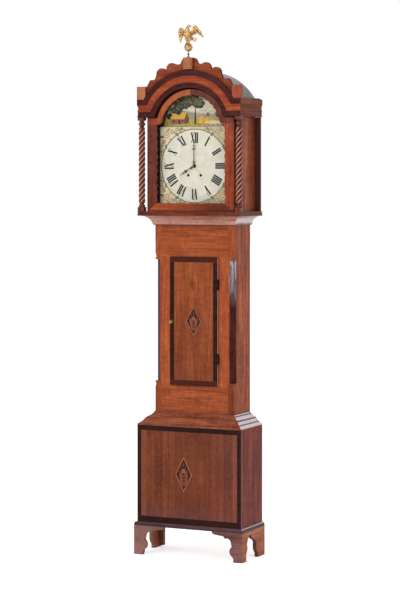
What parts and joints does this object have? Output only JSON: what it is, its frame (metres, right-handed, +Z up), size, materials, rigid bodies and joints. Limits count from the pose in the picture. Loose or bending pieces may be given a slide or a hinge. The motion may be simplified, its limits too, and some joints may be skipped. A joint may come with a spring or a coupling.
{
  "type": "longcase clock",
  "caption": "Tall wooden longcase clock with arched painted dial, sliding hood with twist columns and gilt eagle, inlaid trunk door and box base on bracket feet.",
  "frame": {"origin": "centre of the bounding box on the floor", "axes": "+X to the right as seen from the front, +Y to the back, +Z up; the dial faces -Y"},
  "size_m": [0.504, 0.237, 2.2335],
  "materials": {
    "mahogany": "french polish",
    "dark_wood": "french polish",
    "pine": "bare, aged",
    "roof_wood": "stained and waxed",
    "gilt": "gilt",
    "brass": "lacquered",
    "steel": "polished",
    "iron": "painted black",
    "painted_iron": "hand painted",
    "glass": "clear",
    "gut": "natural"
  },
  "bodies": {
    "root": {"backboard": "pine", "base_front_panel": "mahogany", "base_inlays": "dark_wood", "base_carcass": "pine", "base_mouldings": "mahogany", "bracket_feet": "mahogany", "trunk_sides": "mahogany", "trunk_corner_posts": "mahogany", "trunk_front_frame": "mahogany", "throat_moulding": "mahogany", "seatboard": "pine", "trunk_hinges": "brass", "movement_frame": "brass", "false_plate": "iron", "dial_plate": "painted_iron", "pendulum_cock": "brass", "bell": "brass", "line_leads": "gut"},
    "hood": {"hood_base_frame": "mahogany", "hood_front_frame": "dark_wood", "hood_sides": "mahogany", "hood_roof": "roof_wood", "cornice_dark_bands": "dark_wood", "cornice_cove": "mahogany", "cresting_board": "mahogany", "cresting_blocks": "mahogany", "eagle_finial": "gilt", "twist_columns": "mahogany", "hood_hinge_pins": "brass"},
    "hood_door": {"hood_door_frame": "mahogany", "hood_door_glass": "glass", "hood_door_hinges": "brass"},
    "trunk_door": {"trunk_door_panel": "mahogany", "trunk_door_inlays": "dark_wood", "trunk_door_lock": "brass"},
    "bolt": {"trunk_lock_bolt": "brass"},
    "key": {"trunk_key": "brass"},
    "centre": {"centre_wheel": "brass", "minute_hand": "steel"},
    "hour": {"hour_wheel": "brass", "hour_hand": "steel"},
    "minute_wheel": {"minute_wheel": "brass"},
    "third": {"third_wheel": "brass"},
    "escape": {"escape_wheel": "brass"},
    "pallets": {"pallets": "steel"},
    "pendulum": {"pendulum": "steel"},
    "going_great": {"going_great_wheel": "brass"},
    "going_barrel": {"going_barrel": "steel"},
    "going_weight": {"going_weight": "iron", "going_line": "gut"},
    "going_pulley": {"going_pulley": "brass"},
    "strike_great": {"strike_great_wheel": "brass"},
    "strike_barrel": {"strike_barrel": "steel"},
    "strike_weight": {"strike_weight": "iron", "strike_line": "gut"},
    "strike_pulley": {"strike_pulley": "brass"},
    "pin": {"pin_wheel": "brass"},
    "locking": {"locking_wheel": "brass"},
    "fly": {"fly": "brass"},
    "hammer": {"hammer": "steel"}
  },
  "joints": [
    {"name": "hood_slide", "type": "slide", "parent": "root", "child": "hood", "axis": [0, -1, 0], "range_m": [0, 0.26]},
    {"name": "hood_door_hinge", "type": "hinge", "parent": "hood", "child": "hood_door", "pos_m": [0.203, -0.0825, 1.65], "axis": [0, 0, 1], "range_deg": [0, 100]},
    {"name": "trunk_door_hinge", "type": "hinge", "parent": "root", "child": "trunk_door", "pos_m": [0.1124, -0.0525, 0.9895], "axis": [0, 0, 1], "range_deg": [0, 115]},
    {"name": "key_turn", "type": "hinge", "parent": "trunk_door", "child": "key", "pos_m": [-0.101, -0.0515, 0.9865], "axis": [0, 1, 0], "range_deg": [0, 180]},
    {"name": "bolt_slide", "type": "slide", "parent": "trunk_door", "child": "bolt", "axis": [-1, 0, 0], "range_m": [0, 0.009]},
    {"name": "minute_turn", "type": "hinge", "parent": "root", "child": "centre", "pos_m": [0, 0.0235, 1.643], "axis": [0, 1, 0], "continuous": true},
    {"name": "hour_turn", "type": "hinge", "parent": "root", "child": "hour", "pos_m": [0, -0.0315, 1.643], "axis": [0, 1, 0], "continuous": true},
    {"name": "minute_wheel_turn", "type": "hinge", "parent": "root", "child": "minute_wheel", "pos_m": [-0.03195, -0.0145, 1.65463], "axis": [0, 1, 0], "continuous": true},
    {"name": "third_turn", "type": "hinge", "parent": "root", "child": "third", "pos_m": [0.02084, 0.0235, 1.66384], "axis": [0, 1, 0], "continuous": true},
    {"name": "escape_turn", "type": "hinge", "parent": "root", "child": "escape", "pos_m": [0, 0.0235, 1.68188], "axis": [0, 1, 0], "continuous": true},
    {"name": "going_great_turn", "type": "hinge", "parent": "root", "child": "going_great", "pos_m": [0.029, 0.05, 1.604], "axis": [0, 1, 0], "continuous": true},
    {"name": "going_wind", "type": "hinge", "parent": "going_great", "child": "going_barrel", "pos_m": [0.029, 0.0265, 1.604], "axis": [0, -1, 0], "range_deg": [0, 5750]},
    {"name": "going_fall", "type": "slide", "parent": "root", "child": "going_weight", "axis": [0, 0, 1], "range_m": [0, 0.94], "deforming": ["going_line"]},
    {"name": "going_pulley_turn", "type": "hinge", "parent": "going_weight", "child": "going_pulley", "pos_m": [0.06875, 0.0265, 0.505], "axis": [0, 1, 0], "range_deg": [0, 2570]},
    {"name": "strike_wind", "type": "hinge", "parent": "strike_great", "child": "strike_barrel", "pos_m": [-0.029, 0.0265, 1.604], "axis": [0, 1, 0], "range_deg": [0, 5750]},
    {"name": "strike_fall", "type": "slide", "parent": "root", "child": "strike_weight", "axis": [0, 0, 1], "range_m": [0, 0.94], "deforming": ["strike_line"]},
    {"name": "strike_pulley_turn", "type": "hinge", "parent": "strike_weight", "child": "strike_pulley", "pos_m": [-0.06875, 0.0265, 0.505], "axis": [0, -1, 0], "range_deg": [0, 2570]},
    {"name": "pin_turn", "type": "hinge", "parent": "root", "child": "pin", "pos_m": [-0.03547, 0.0235, 1.65005], "axis": [0, 1, 0], "continuous": true},
    {"name": "strike_great_turn", "type": "hinge", "parent": "root", "child": "strike_great", "pos_m": [-0.029, 0.001, 1.604], "axis": [0, 1, 0], "continuous": true},
    {"name": "locking_turn", "type": "hinge", "parent": "root", "child": "locking", "pos_m": [-0.02726, 0.0235, 1.6726], "axis": [0, 1, 0], "continuous": true},
    {"name": "fly_turn", "type": "hinge", "parent": "root", "child": "fly", "pos_m": [-0.02408, 0.0235, 1.69066], "axis": [0, 1, 0], "continuous": true},
    {"name": "pendulum_swing", "type": "hinge", "parent": "root", "child": "pendulum", "pos_m": [0, 0.0785, 1.70875], "axis": [0, 1, 0], "range_deg": [-2.5, 2.5]},
    {"name": "pallet_rock", "type": "hinge", "parent": "root", "child": "pallets", "pos_m": [0, 0.0285, 1.70875], "axis": [0, 1, 0], "range_deg": [-2.5, 2.5]},
    {"name": "hammer_lift", "type": "hinge", "parent": "root", "child": "hammer", "pos_m": [-0.05, 0.0265, 1.7151], "axis": [0, -1, 0], "range_deg": [0, 14]}
  ],
  "couplings": [
    {"joint": "hour_turn", "follows": "minute_turn", "ratio": 0.083333},
    {"joint": "minute_wheel_turn", "follows": "minute_turn", "ratio": -1},
    {"joint": "third_turn", "follows": "minute_turn", "ratio": -7.5},
    {"joint": "escape_turn", "follows": "minute_turn", "ratio": 60},
    {"joint": "going_great_turn", "follows": "minute_turn", "ratio": -0.083333},
    {"joint": "strike_great_turn", "follows": "pin_turn", "ratio": -0.083333},
    {"joint": "locking_turn", "follows": "pin_turn", "ratio": -7},
    {"joint": "fly_turn", "follows": "pin_turn", "ratio": 48},
    {"joint": "going_wind", "follows": "going_fall", "rad_per_m": 106.67},
    {"joint": "going_pulley_turn", "follows": "going_fall", "rad_per_m": 47.619},
    {"joint": "strike_wind", "follows": "strike_fall", "rad_per_m": 106.67},
    {"joint": "strike_pulley_turn", "follows": "strike_fall", "rad_per_m": 47.619},
    {"joint": "pallet_rock", "follows": "pendulum_swing", "ratio": 1},
    {"joint": "key_turn", "follows": "bolt_slide", "rad_per_m": 345}
  ]
}
